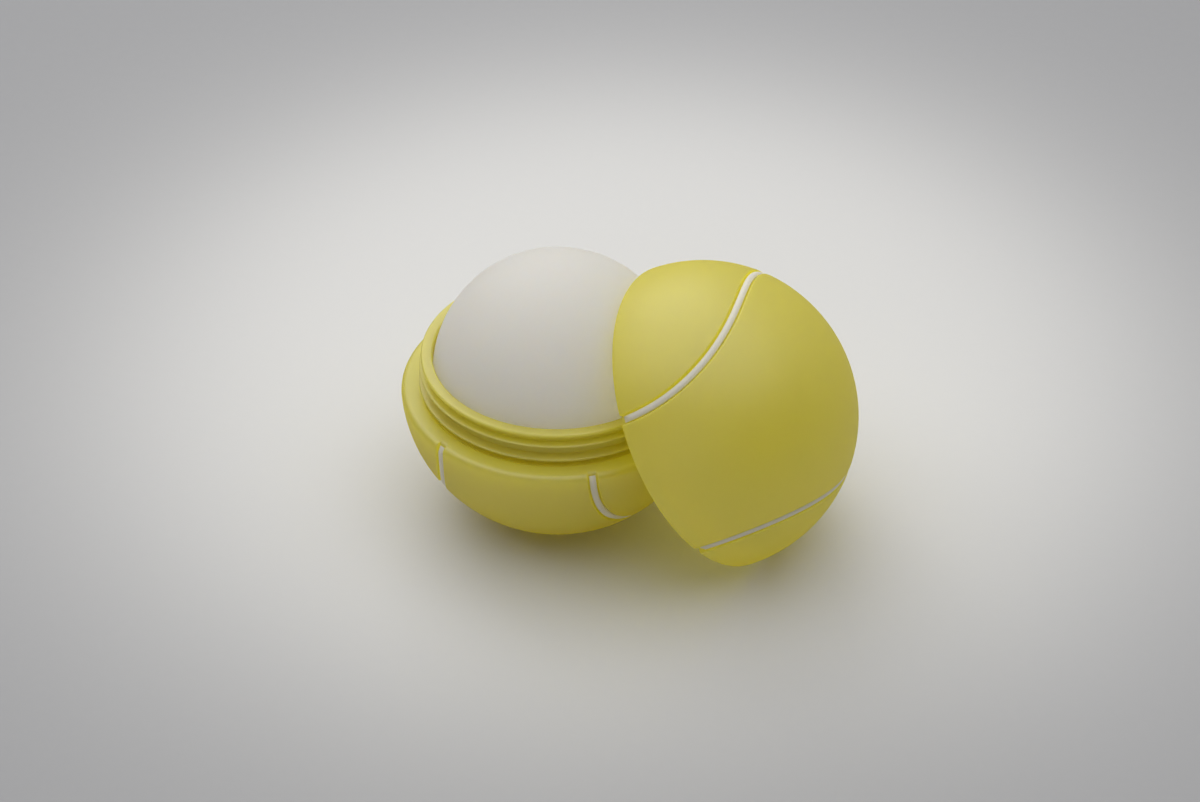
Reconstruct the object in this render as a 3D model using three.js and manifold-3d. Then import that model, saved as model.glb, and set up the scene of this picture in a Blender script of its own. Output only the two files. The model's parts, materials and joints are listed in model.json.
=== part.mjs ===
// Ball lip balm: a round two-part container whose domed balm stands in a ridged neck.
// It is shown open, with the lid standing on its rim and leaning on the balm.
// Millimetres, Z up. The origin is the middle of the foot, on the surface that the ball stands on.
import * as THREE from 'three';
import { mergeVertices } from 'three/addons/utils/BufferGeometryUtils.js';
import Module from 'manifold-3d';

// Ball and foot. The halves part a little below the middle of the lower half's ball.
const BASE_RADIUS = 21;
const LID_STEP = 0.3;
const FOOT_RADIUS = 8.5;
const PARTING_DROP = 0.4;

// Lower half
const SHELL_WALL = 1.8;
const FOOT_WALL = 1.8;
const SHOULDER_WIDTH = 2.8;
const SHOULDER_EDGE = 0.5;
const LEDGE_WIDTH = 0.7;

// Neck and balm cup. The lid snaps over two beads on the neck, below its lip.
const NECK_HEIGHT = 5;
const NECK_WALL = 1.4;
const LIP_HEIGHT = 0.6;
const LIP_OUTER_EDGE = 0.42;
const LIP_INNER_EDGE = 0.25;
const BEAD_RECESS = 0.6;
const UPPER_BEAD_HEIGHT = 3.25;
const UPPER_BEAD_RISE = 0.25;
const LOWER_BEAD_HEIGHT = 1.25;
const LOWER_BEAD_RISE = 0.35;
const BEAD_LAND = 0.25;
const BEAD_SLOPE = 0.45;
const BEAD_STEP = 0.25;
const SKIRT_DEPTH = 4;
const SNAP_HEIGHT = 0.9;
const SNAP_RISE = 0.3;
const SNAP_DEPTH = 2.2;
const CUP_FLOOR = 1.5;
const SOCKET_DEPTH = 3.5;
const SOCKET_WALL = 1.2;

// Balm and its anchor
const BALM_SIDE = 0.4;
const STEM_RADIUS = 3;
const ANCHOR_RADIUS = 10;
const ANCHOR_RISE = 4;
const ANCHOR_THICKNESS = 1.6;
const ANCHOR_HOLES = 6;
const ANCHOR_HOLE_RADIUS = 2;
const ANCHOR_RIB_WIDTH = 1.2;
const ANCHOR_RIB_RISE = 3;

// Lid and liner
const LID_WALL = 1.2;
const RIM_LAND = 0.9;
const RIM_EDGE = 0.3;
const LID_BEAD_HEIGHT = 2.55;
const LID_BEAD_WIDTH = 0.8;
const LINER_WALL = 0.7;
const LID_TILT = THREE.MathUtils.degToRad(57.6);
const LID_TURN = THREE.MathUtils.degToRad(-5.9);

// White seam, let into both halves. A smaller swing makes its arms straighter and its lobes squarer.
const SEAM_HALF_WAIST = THREE.MathUtils.degToRad(30.2);
const SEAM_SWING = 0.81;
const GROOVE_WIDTH = 1.25;
const GROOVE_DEPTH = 0.7;
const STRIP_THICKNESS = 0.3;

// Clearances
const PRESS_GAP = 0.1;
const SEAT_GAP = 0.15;
const CAST_GAP = 0.1;
const ANCHOR_GAP = 0.15;
const BORE_GAP = 0.2;
const SNAP_GAP = 0.05;
const SEAL_GAP = 0.2;
const DOME_CLEARANCE = 0.5;
const STRIP_SIDE_GAP = 0.1;
const STRIP_BED_GAP = 0.1;
const STRIP_END_GAP = 0.35;
const LEAN_GAP = 0.1;

// Facets
const OUTER_FACETS = 52;
const INNER_FACETS = 40;
const STEM_FACETS = 24;
const HOLE_FACETS = 8;
const SPHERE_STEPS = 11;
const INNER_SPHERE_STEPS = 6;
const EDGE_STEPS = 3;
const SEAM_STEPS = 44;
const SEAM_OVERRUN = 0.06;
const CUTTER_REACH = 1;

// Sizes that follow from those above. Heights are taken from the parting plane between the halves.
const PARTING_HEIGHT = Math.sqrt(BASE_RADIUS ** 2 - FOOT_RADIUS ** 2) - PARTING_DROP;
const LID_RADIUS = BASE_RADIUS - LID_STEP;
const NECK_RADIUS = BASE_RADIUS - SHOULDER_WIDTH;
const RECESS_RADIUS = NECK_RADIUS - BEAD_RECESS;
const CUP_RADIUS = NECK_RADIUS - NECK_WALL;
const BALM_RADIUS = CUP_RADIUS - CAST_GAP;
const LID_BORE = NECK_RADIUS + LOWER_BEAD_RISE + BORE_GAP;
const LID_BEAD_RADIUS = NECK_RADIUS + UPPER_BEAD_RISE + SNAP_GAP;
const RIM_INNER_RADIUS = LID_RADIUS - RIM_LAND;
const LID_INNER_RADIUS = LID_RADIUS - LID_WALL;
const LINER_OUTER_RADIUS = LID_INNER_RADIUS - SEAT_GAP;
const LINER_INNER_RADIUS = LINER_OUTER_RADIUS - LINER_WALL;
const BALM_CENTRE = LINER_INNER_RADIUS - DOME_CLEARANCE - BALM_RADIUS;
const BALM_BOTTOM = BALM_CENTRE - BALM_SIDE;
const CUP_FLOOR_TOP = BALM_BOTTOM - CAST_GAP;

const SHELL_FINISH = { color: 0xc6be48, roughness: 0.42 };
const BALM_FINISH = { color: 0xece8e4, roughness: 0.55 };
const STRIP_FINISH = { color: 0xe9e5dc, roughness: 0.6 };
const INNER_FINISH = { color: 0xf0eee6, roughness: 0.5 };

const wasm = await Module();
wasm.setup();

// Points of an arc in a profile, from one angle to another, in radians from the radius axis.
function arc(radius, from, to, steps, centreRadius = 0, centreHeight = 0) {
  return Array.from({ length: steps + 1 }, (_, i) => {
    const angle = from + ((to - from) * i) / steps;
    const offset = new THREE.Vector2(Math.cos(angle), Math.sin(angle)).multiplyScalar(radius);
    return offset.add(new THREE.Vector2(centreRadius, centreHeight));
  });
}

function point(radius, height) {
  return new THREE.Vector2(Math.max(radius, 0), height);
}

// A profile of radius and height, turned round the Z axis.
function revolve(profile, facets) {
  return new THREE.LatheGeometry(profile, facets).rotateX(Math.PI / 2);
}

function toSolid(geometry) {
  const bare = geometry.clone();
  bare.deleteAttribute('normal');
  bare.deleteAttribute('uv');
  const merged = mergeVertices(bare, 1e-4);
  const corners = merged.index.array;
  const triangles = [];
  for (let i = 0; i < corners.length; i += 3) {
    const [a, b, c] = corners.slice(i, i + 3);
    if (a !== b && b !== c && c !== a) triangles.push(a, b, c);
  }
  const vertProperties = new Float32Array(merged.attributes.position.array);
  const triVerts = new Uint32Array(triangles);
  return new wasm.Manifold(new wasm.Mesh({ numProp: 3, vertProperties, triVerts }));
}

function toGeometry(solid) {
  const mesh = solid.getMesh();
  const geometry = new THREE.BufferGeometry();
  geometry.setAttribute('position', new THREE.BufferAttribute(new Float32Array(mesh.vertProperties), 3));
  geometry.setIndex(new THREE.BufferAttribute(new Uint32Array(mesh.triVerts), 1));
  geometry.computeVertexNormals();
  return geometry;
}

function makePart(name, geometry, finish) {
  const mesh = new THREE.Mesh(geometry, new THREE.MeshStandardMaterial({ ...finish, metalness: 0 }));
  mesh.name = name;
  return mesh;
}

// A closed bar through a row of four-cornered sections.
function loft(sections) {
  const corners = sections.flat();
  const side = 4;
  const index = [];
  for (let i = 0; i < sections.length - 1; i += 1) {
    for (let k = 0; k < side; k += 1) {
      const a = i * side + k;
      const b = i * side + ((k + 1) % side);
      index.push(a, b, b + side, a, b + side, a + side);
    }
  }
  const last = corners.length - side;
  index.push(0, 2, 1, 0, 3, 2, last, last + 1, last + 2, last, last + 2, last + 3);
  const geometry = new THREE.BufferGeometry().setFromPoints(corners);
  geometry.setIndex(index);
  geometry.computeVertexNormals();
  return geometry;
}

// Where the seam runs on a ball of radius one. The curve swings round the ball in two lobes,
// and its two arms come closest at the waist, on the -Y side, where they cross the parting plane.
function seamPoint(turn) {
  const bend = Math.atan(SEAM_SWING * Math.tan(SEAM_HALF_WAIST));
  const wide = (1 + Math.sin(bend)) / 2;
  const narrow = 1 - wide;
  const x = wide * Math.cos(turn) + narrow * Math.cos(3 * turn);
  const y = wide * Math.sin(turn) - narrow * Math.sin(3 * turn);
  const z = SEAM_SWING * Math.cos(bend) * Math.sin(2 * turn);
  return new THREE.Vector3((x + y) / Math.SQRT2, -z, (y - x) / Math.SQRT2).normalize();
}

// A bar that follows the seam over one half of the ball, between two radii, and runs on past its ends.
function seamBar(innerRadius, outerRadius, width, upperHalf) {
  const start = (upperHalf ? 0.25 : 1.25) * Math.PI - SEAM_OVERRUN;
  const sweep = Math.PI + 2 * SEAM_OVERRUN;
  const delta = 1e-4;
  const sections = [];
  for (let i = 0; i <= SEAM_STEPS; i += 1) {
    const turn = start + (sweep * i) / SEAM_STEPS;
    const outward = seamPoint(turn);
    const along = seamPoint(turn + delta).sub(seamPoint(turn - delta)).normalize();
    const across = new THREE.Vector3().crossVectors(outward, along).multiplyScalar(width / 2);
    const low = outward.clone().multiplyScalar(innerRadius);
    const high = outward.clone().multiplyScalar(outerRadius);
    sections.push([
      low.clone().sub(across),
      low.clone().add(across),
      high.clone().add(across),
      high.clone().sub(across),
    ]);
  }
  return toSolid(loft(sections));
}

function seamGroove(radius, upperHalf) {
  return seamBar(radius - GROOVE_DEPTH, radius + CUTTER_REACH, GROOVE_WIDTH, upperHalf);
}

// The strip in one half's groove, on a ball with a raised middle, cut off short of the parting plane.
function seamStrip(radius, upperHalf, raise) {
  const bed = radius - GROOVE_DEPTH + STRIP_BED_GAP;
  const bar = seamBar(bed, bed + STRIP_THICKNESS, GROOVE_WIDTH - 2 * STRIP_SIDE_GAP, upperHalf);
  const kept = [0, 0, upperHalf ? 1 : -1];
  return toGeometry(bar.translate([0, 0, raise]).trimByPlane(kept, STRIP_END_GAP));
}

// Lower half of the ball: a bowl with a flat foot, a bore for the neck and a ledge that carries it.
function baseShell() {
  const innerRadius = BASE_RADIUS - SHELL_WALL;
  const floor = FOOT_WALL - PARTING_HEIGHT;
  const bore = NECK_RADIUS + PRESS_GAP;
  const ledge = NECK_RADIUS - LEDGE_WIDTH;
  const ledgeHeight = -SKIRT_DEPTH - SEAT_GAP;
  const snapTop = -SNAP_DEPTH + SNAP_HEIGHT / 2 + PRESS_GAP;
  const snapBottom = -SNAP_DEPTH - SNAP_HEIGHT / 2 - PRESS_GAP;
  const edgeCentre = BASE_RADIUS - SHOULDER_EDGE;
  const edgeStart = -Math.asin((SHOULDER_EDGE + PARTING_DROP) / edgeCentre);
  const edgeRadius = edgeCentre * Math.cos(edgeStart);
  const footAngle = -Math.acos(FOOT_RADIUS / BASE_RADIUS);
  const ledgeAngle = -Math.acos(ledge / innerRadius);
  const floorAngle = Math.asin((floor - PARTING_DROP) / innerRadius);
  const profile = [
    point(0, -PARTING_HEIGHT),
    ...arc(BASE_RADIUS, footAngle, edgeStart, SPHERE_STEPS, 0, PARTING_DROP),
    ...arc(SHOULDER_EDGE, edgeStart, Math.PI / 2, EDGE_STEPS, edgeRadius, -SHOULDER_EDGE).slice(1),
    point(bore, 0),
    point(bore, snapTop),
    point(bore + SNAP_RISE, -SNAP_DEPTH + PRESS_GAP),
    point(bore + SNAP_RISE, -SNAP_DEPTH - PRESS_GAP),
    point(bore, snapBottom),
    point(bore, ledgeHeight),
    point(ledge, ledgeHeight),
    ...arc(innerRadius, ledgeAngle, floorAngle, INNER_SPHERE_STEPS, 0, PARTING_DROP),
    point(0, floor),
  ];
  const groove = seamGroove(BASE_RADIUS, false).translate([0, 0, PARTING_DROP]);
  return toGeometry(toSolid(revolve(profile, OUTER_FACETS)).subtract(groove));
}

// One bead on the neck: a short step under it, a narrow land, and a slope above that guides the lid.
function bead(height, rise) {
  const crest = NECK_RADIUS + rise;
  return [
    point(RECESS_RADIUS, height - BEAD_STEP),
    point(crest, height),
    point(crest, height + BEAD_LAND),
    point(RECESS_RADIUS, height + BEAD_LAND + BEAD_SLOPE),
  ];
}

// Beaded neck with the cup for the balm, the skirt that snaps into the lower half, and a socket.
function balmCup() {
  const socket = STEM_RADIUS + PRESS_GAP;
  const boss = socket + SOCKET_WALL;
  const floorBottom = CUP_FLOOR_TOP - CUP_FLOOR;
  const socketBottom = CUP_FLOOR_TOP - SOCKET_DEPTH;
  const lipOuter = NECK_RADIUS - LIP_OUTER_EDGE;
  const lipInner = CUP_RADIUS + LIP_INNER_EDGE;
  const profile = [
    point(0, socketBottom - SOCKET_WALL),
    point(boss, socketBottom - SOCKET_WALL),
    point(boss, floorBottom),
    point(CUP_RADIUS, floorBottom),
    point(CUP_RADIUS, -SKIRT_DEPTH),
    point(NECK_RADIUS, -SKIRT_DEPTH),
    point(NECK_RADIUS, -SNAP_DEPTH - SNAP_HEIGHT / 2),
    point(NECK_RADIUS + SNAP_RISE, -SNAP_DEPTH),
    point(NECK_RADIUS, -SNAP_DEPTH + SNAP_HEIGHT / 2),
    point(NECK_RADIUS, 0),
    point(RECESS_RADIUS, 0),
    ...bead(LOWER_BEAD_HEIGHT, LOWER_BEAD_RISE),
    ...bead(UPPER_BEAD_HEIGHT, UPPER_BEAD_RISE),
    point(RECESS_RADIUS, NECK_HEIGHT - LIP_HEIGHT),
    point(NECK_RADIUS, NECK_HEIGHT - LIP_HEIGHT),
    ...arc(LIP_OUTER_EDGE, 0, Math.PI / 2, EDGE_STEPS, lipOuter, NECK_HEIGHT - LIP_OUTER_EDGE),
    ...arc(LIP_INNER_EDGE, Math.PI / 2, Math.PI, EDGE_STEPS, lipInner, NECK_HEIGHT - LIP_INNER_EDGE),
    point(CUP_RADIUS, CUP_FLOOR_TOP),
    point(socket, CUP_FLOOR_TOP),
    point(socket, socketBottom),
    point(0, socketBottom),
  ];
  return revolve(profile, OUTER_FACETS);
}

// Anchor that keys the balm to the cup: a pierced disc with a rib across it, on a stem in the socket.
// Every face moves outwards by grow, which gives the hollow that the anchor takes up in the balm.
function anchor(grow) {
  const discBottom = CUP_FLOOR_TOP + ANCHOR_RISE;
  const discTop = discBottom + ANCHOR_THICKNESS;
  const stemBottom = CUP_FLOOR_TOP - SOCKET_DEPTH + SEAT_GAP;
  const holeCircle = (STEM_RADIUS + ANCHOR_RADIUS) / 2;
  const stem = revolve([
    point(0, stemBottom - grow),
    point(STEM_RADIUS + grow, stemBottom - grow),
    point(STEM_RADIUS + grow, discBottom + ANCHOR_THICKNESS / 2),
    point(0, discBottom + ANCHOR_THICKNESS / 2),
  ], STEM_FACETS);
  const outline = new THREE.Shape().absarc(0, 0, ANCHOR_RADIUS + grow, 0, 2 * Math.PI);
  for (let i = 0; i < ANCHOR_HOLES; i += 1) {
    const angle = ((i + 0.5) * 2 * Math.PI) / ANCHOR_HOLES;
    const x = holeCircle * Math.cos(angle);
    const y = holeCircle * Math.sin(angle);
    outline.holes.push(new THREE.Path().absarc(x, y, ANCHOR_HOLE_RADIUS - grow, 0, 2 * Math.PI, true));
  }
  const depth = ANCHOR_THICKNESS + 2 * grow;
  const disc = new THREE.ExtrudeGeometry(outline, { depth, bevelEnabled: false, curveSegments: HOLE_FACETS });
  disc.translate(0, 0, discBottom - grow);
  const ribWidth = ANCHOR_RIB_WIDTH + 2 * grow;
  const ribBottom = discTop - ANCHOR_THICKNESS / 2;
  const ribHeight = discTop + ANCHOR_RIB_RISE + grow - ribBottom;
  const rib = new THREE.BoxGeometry(2 * (ANCHOR_RADIUS - ANCHOR_RIB_WIDTH + grow), ribWidth, ribHeight);
  rib.translate(0, 0, ribBottom + ribHeight / 2);
  return toSolid(stem).add(toSolid(disc)).add(toSolid(rib));
}

function balm() {
  const profile = [
    point(0, BALM_BOTTOM),
    point(BALM_RADIUS, BALM_BOTTOM),
    ...arc(BALM_RADIUS, 0, Math.PI / 2, SPHERE_STEPS, 0, BALM_CENTRE),
  ];
  return toGeometry(toSolid(revolve(profile, OUTER_FACETS)).subtract(anchor(ANCHOR_GAP)));
}

// Upper half of the ball, in its own frame with the rim at height 0: a bored rim with a bead that
// catches between those of the neck, and a thin dome.
function lidShell() {
  const edgeCentre = LID_RADIUS - RIM_EDGE;
  const edgeEnd = Math.asin(RIM_EDGE / edgeCentre);
  const boreTop = Math.acos(LID_BORE / LID_INNER_RADIUS);
  const profile = [
    ...arc(RIM_EDGE, -Math.PI / 2, edgeEnd, EDGE_STEPS, edgeCentre * Math.cos(edgeEnd), RIM_EDGE),
    ...arc(LID_RADIUS, edgeEnd, Math.PI / 2, SPHERE_STEPS).slice(1),
    ...arc(LID_INNER_RADIUS, Math.PI / 2, boreTop, INNER_SPHERE_STEPS),
    point(LID_BORE, LID_BEAD_HEIGHT + LID_BEAD_WIDTH / 2),
    point(LID_BEAD_RADIUS, LID_BEAD_HEIGHT),
    point(LID_BORE, LID_BEAD_HEIGHT - LID_BEAD_WIDTH / 2),
    point(LID_BORE, RIM_INNER_RADIUS - LID_BORE),
    point(RIM_INNER_RADIUS, 0),
  ];
  profile.push(profile[0].clone());
  return toGeometry(toSolid(revolve(profile, OUTER_FACETS)).subtract(seamGroove(LID_RADIUS, true)));
}

// Inner dome of the lid. Its edge comes down on the neck's lip and closes the balm off.
function lidLiner() {
  const edge = NECK_HEIGHT + SEAL_GAP;
  const outerStart = Math.asin(edge / LINER_OUTER_RADIUS);
  const innerStart = Math.asin(edge / LINER_INNER_RADIUS);
  const profile = [
    ...arc(LINER_OUTER_RADIUS, outerStart, Math.PI / 2, INNER_SPHERE_STEPS),
    ...arc(LINER_INNER_RADIUS, Math.PI / 2, innerStart, INNER_SPHERE_STEPS),
  ];
  profile.push(profile[0].clone());
  return revolve(profile, INNER_FACETS);
}

function baseGroup() {
  const group = new THREE.Group();
  group.position.z = PARTING_HEIGHT;
  group.add(
    makePart('base_shell', baseShell(), SHELL_FINISH),
    makePart('base_seam', seamStrip(BASE_RADIUS, false, PARTING_DROP), STRIP_FINISH),
    makePart('balm_cup', balmCup(), SHELL_FINISH),
    makePart('balm_anchor', toGeometry(anchor(0)), INNER_FINISH),
    makePart('balm', balm(), BALM_FINISH),
  );
  return group;
}

// The lid stands on the lowest point of its rim, and the inside of its rim leans on the balm.
function lidGroup() {
  const group = new THREE.Group();
  const edgeCentre = Math.sqrt((LID_RADIUS - RIM_EDGE) ** 2 - RIM_EDGE ** 2);
  const height = edgeCentre * Math.sin(LID_TILT) - RIM_EDGE * Math.cos(LID_TILT) + RIM_EDGE;
  const touchHeight = height + RIM_INNER_RADIUS * Math.sin(LID_TILT) - PARTING_HEIGHT - BALM_CENTRE;
  const touchReach = Math.sqrt((BALM_RADIUS + LEAN_GAP) ** 2 - touchHeight ** 2);
  group.position.set(touchReach + RIM_INNER_RADIUS * Math.cos(LID_TILT), 0, height);
  group.rotation.set(0, LID_TILT, LID_TURN);
  group.add(
    makePart('lid_shell', lidShell(), SHELL_FINISH),
    makePart('lid_seam', seamStrip(LID_RADIUS, true, 0), STRIP_FINISH),
    makePart('lid_liner', lidLiner(), INNER_FINISH),
  );
  return group;
}

const lipBalm = new THREE.Group();
lipBalm.add(baseGroup(), lidGroup());

export default lipBalm;
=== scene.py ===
"""Looks of the open ball lip balm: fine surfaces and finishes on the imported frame.

The lower half stands on its foot. The lid stands on its rim beside it and leans on the balm.
Lengths are metres. Each half of the ball is worked out dome up, round the middle of its ball, and is
then put in its place. An azimuth turns about a half's own axis, from -Y towards +X.
"""

import json
import logging
import math
from dataclasses import dataclass, replace
from enum import Enum
from typing import Any

import bmesh
import bpy
import numpy as np
from mathutils import Matrix, Vector

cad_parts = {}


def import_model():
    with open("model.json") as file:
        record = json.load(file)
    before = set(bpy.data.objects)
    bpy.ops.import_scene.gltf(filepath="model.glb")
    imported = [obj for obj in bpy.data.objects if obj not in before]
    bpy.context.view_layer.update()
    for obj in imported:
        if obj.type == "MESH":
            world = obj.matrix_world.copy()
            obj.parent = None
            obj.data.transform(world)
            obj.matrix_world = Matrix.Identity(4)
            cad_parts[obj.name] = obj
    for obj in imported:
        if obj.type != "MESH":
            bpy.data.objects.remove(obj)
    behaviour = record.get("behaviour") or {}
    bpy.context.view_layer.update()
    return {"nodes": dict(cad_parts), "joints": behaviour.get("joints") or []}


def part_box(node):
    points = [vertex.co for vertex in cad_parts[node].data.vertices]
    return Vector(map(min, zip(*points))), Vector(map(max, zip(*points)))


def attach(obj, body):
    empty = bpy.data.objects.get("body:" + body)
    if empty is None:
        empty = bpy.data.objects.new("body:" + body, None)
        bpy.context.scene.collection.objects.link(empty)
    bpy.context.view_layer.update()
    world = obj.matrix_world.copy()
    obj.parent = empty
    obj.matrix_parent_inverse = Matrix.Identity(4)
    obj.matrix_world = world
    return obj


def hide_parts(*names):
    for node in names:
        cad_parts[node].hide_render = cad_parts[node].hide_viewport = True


MM = 0.001
MERGE_DISTANCE = 2e-6
COLLAPSE_DISTANCE = 2e-7
SHARP_ANGLE = math.radians(40)

# The lid is turned this far about its own axis.
LID_SPIN = math.radians(-5.9)
# The lower half's ball is this much larger in radius than the lid's.
LID_STEP = 0.3 * MM

# Sockets of a Mix node that mixes colours.
MIX_SHARE, MIX_FIRST, MIX_SECOND, MIX_RESULT = 0, 6, 7, 2

Colour = tuple[float, float, float, float]
Vector3 = tuple[float, float, float]
Level = np.ndarray | float
WHITE: Colour = (1.0, 1.0, 1.0, 1.0)

log = logging.getLogger("lip_balm")


class Body(Enum):
    """The two bodies of the frame that pieces ride on."""

    BASE = "base"
    LID = "lid"


class Slot(Enum):
    """The record's material slots."""

    SHELL = "shell_plastic"
    SEAM = "seam_white"
    WAX = "balm_wax"
    INNER = "inner_plastic"


def paint(code: int) -> Colour:
    """Turns a colour as it is seen on a screen into the linear colour that a shader takes.

    It follows the usual screen curve: a short straight foot, then a power of 2.4.

    Args:
        code: The colour as 0xRRGGBB.

    Returns:
        Red, green, blue and alpha, linear.
    """
    shown = np.array([code >> 16 & 255, code >> 8 & 255, code & 255]) / 255
    linear = np.where(shown <= 0.04045, shown / 12.92, ((shown + 0.055) / 1.055) ** 2.4)
    return (*(float(level) for level in linear), 1.0)


class Signal:
    """A value on its way through a material's nodes, so that shader maths reads as Python."""

    def __init__(self, graph: "Graph", socket: bpy.types.NodeSocket) -> None:
        """Wraps the output socket that carries the value."""
        self.graph = graph
        self.socket = socket

    def _combine(self, operation: str, first: "Feed", second: "Feed") -> "Signal":
        """Adds the Math node for an operation on two values.

        Args:
            operation: Name of the Math node's operation.
            first: Left value or signal.
            second: Right value or signal.

        Returns:
            The node's result.
        """
        return self.graph.signal("ShaderNodeMath", {"operation": operation}, {0: first, 1: second})

    def __add__(self, other: "Feed") -> "Signal":
        """Sum."""
        return self._combine("ADD", self, other)

    def __radd__(self, other: "Feed") -> "Signal":
        """Sum with a number on the left."""
        return self._combine("ADD", other, self)

    def __sub__(self, other: "Feed") -> "Signal":
        """Difference."""
        return self._combine("SUBTRACT", self, other)

    def __rsub__(self, other: "Feed") -> "Signal":
        """Difference from a number on the left."""
        return self._combine("SUBTRACT", other, self)

    def __mul__(self, other: "Feed") -> "Signal":
        """Product."""
        return self._combine("MULTIPLY", self, other)

    def __rmul__(self, other: "Feed") -> "Signal":
        """Product with a number on the left."""
        return self._combine("MULTIPLY", other, self)

    def __truediv__(self, other: "Feed") -> "Signal":
        """Quotient."""
        return self._combine("DIVIDE", self, other)

    def __rtruediv__(self, other: "Feed") -> "Signal":
        """A number on the left divided by the signal."""
        return self._combine("DIVIDE", other, self)

    def __pow__(self, other: "Feed") -> "Signal":
        """Power."""
        return self._combine("POWER", self, other)

    def __rpow__(self, other: "Feed") -> "Signal":
        """A number on the left raised to the signal."""
        return self._combine("POWER", other, self)


Feed = Signal | bpy.types.NodeSocket | float | Colour | Vector3


class Graph:
    """The node tree of one material or of the world."""

    def __init__(self, tree: bpy.types.NodeTree) -> None:
        """Takes over a node tree and empties it."""
        self.tree = tree
        tree.nodes.clear()

    def node(
        self,
        kind: str,
        settings: dict[str, Any] | None = None,
        feeds: dict[str | int, Feed] | None = None,
    ) -> bpy.types.Node:
        """Adds a node.

        Args:
            kind: The node's type.
            settings: Its properties, which are set first.
            feeds: Values or links of its input sockets, by name or number.

        Returns:
            The node.
        """
        made = self.tree.nodes.new(kind)
        for name, value in (settings or {}).items():
            setattr(made, name, value)
        for key, feed in (feeds or {}).items():
            source = feed.socket if isinstance(feed, Signal) else feed
            if isinstance(source, bpy.types.NodeSocket):
                self.tree.links.new(source, made.inputs[key])
            else:
                made.inputs[key].default_value = source
        return made

    def signal(self, kind: str, settings: dict[str, Any], feeds: dict[str | int, Feed]) -> Signal:
        """Adds a node and wraps its first output."""
        return Signal(self, self.node(kind, settings, feeds).outputs[0])

    def place(self) -> bpy.types.NodeSocket:
        """The piece's own coordinates, in metres."""
        return self.node("ShaderNodeTexCoord").outputs["Object"]

    def noise(self, size: float, detail: float = 2.0) -> Signal:
        """Soft random values over a piece.

        Args:
            size: Length of one swell.
            detail: How many finer layers are added.

        Returns:
            Values from 0 to 1, mostly near 0.5.
        """
        feeds = {"Vector": self.place(), "Scale": 1 / size, "Detail": detail}
        return self.signal("ShaderNodeTexNoise", {}, feeds)

    def blend(self, share: Feed, first: Feed, second: Feed) -> bpy.types.NodeSocket:
        """Mixes two colours.

        Args:
            share: Share of the second colour, 0 to 1.
            first: First colour.
            second: Second colour.

        Returns:
            The mixed colour's socket.
        """
        feeds = {MIX_SHARE: share, MIX_FIRST: first, MIX_SECOND: second}
        return self.node("ShaderNodeMix", {"data_type": "RGBA"}, feeds).outputs[MIX_RESULT]

    def smooth(self, value: Feed, start: float, full: float, first: float, last: float) -> Signal:
        """Smooth step of a value.

        Args:
            value: The value.
            start: Where the step begins.
            full: Where the step ends, above or below its begin.
            first: Result before the step.
            last: Result after the step.

        Returns:
            The result.
        """
        feeds = {"Value": value, "From Min": start, "From Max": full, "To Min": first, "To Max": last}
        return self.signal("ShaderNodeMapRange", {"interpolation_type": "SMOOTHSTEP"}, feeds)

    def vectors(self, operation: str, first: Feed, second: Feed = (0.0, 0.0, 0.0)) -> bpy.types.Node:
        """Adds the Vector Math node for an operation on one or two vectors."""
        return self.node("ShaderNodeVectorMath", {"operation": operation}, {0: first, 1: second})

    def bump(self, height: Signal, depth: float) -> bpy.types.NodeSocket:
        """Turns heights from 0 to 1 into a tilted normal, with depth as the height of 1."""
        return self.node("ShaderNodeBump", {}, {"Height": height, "Distance": depth}).outputs["Normal"]

    def surface(self, feeds: dict[str | int, Feed], passed: float = 0.0, tint: Colour = WHITE) -> None:
        """Ends the tree in a principled surface.

        Args:
            feeds: Values or links of its sockets.
            passed: Share of the light that goes through to the other side, scattered.
            tint: Colour of the light that goes through.
        """
        shader = self.node("ShaderNodeBsdfPrincipled", {}, feeds).outputs[0]
        if passed:
            through = self.node("ShaderNodeBsdfTranslucent", {}, {"Color": tint}).outputs[0]
            shader = self.node("ShaderNodeMixShader", {}, {0: passed, 1: shader, 2: through}).outputs[0]
        self.node("ShaderNodeOutputMaterial", {}, {"Surface": shader})


def new_material(name: str) -> tuple[bpy.types.Material, Graph]:
    """Makes an empty node material.

    Args:
        name: Name of the material.

    Returns:
        The material, and the graph that fills it.
    """
    material = bpy.data.materials.new(name)
    material.use_nodes = True
    return material, Graph(material.node_tree)


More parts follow.
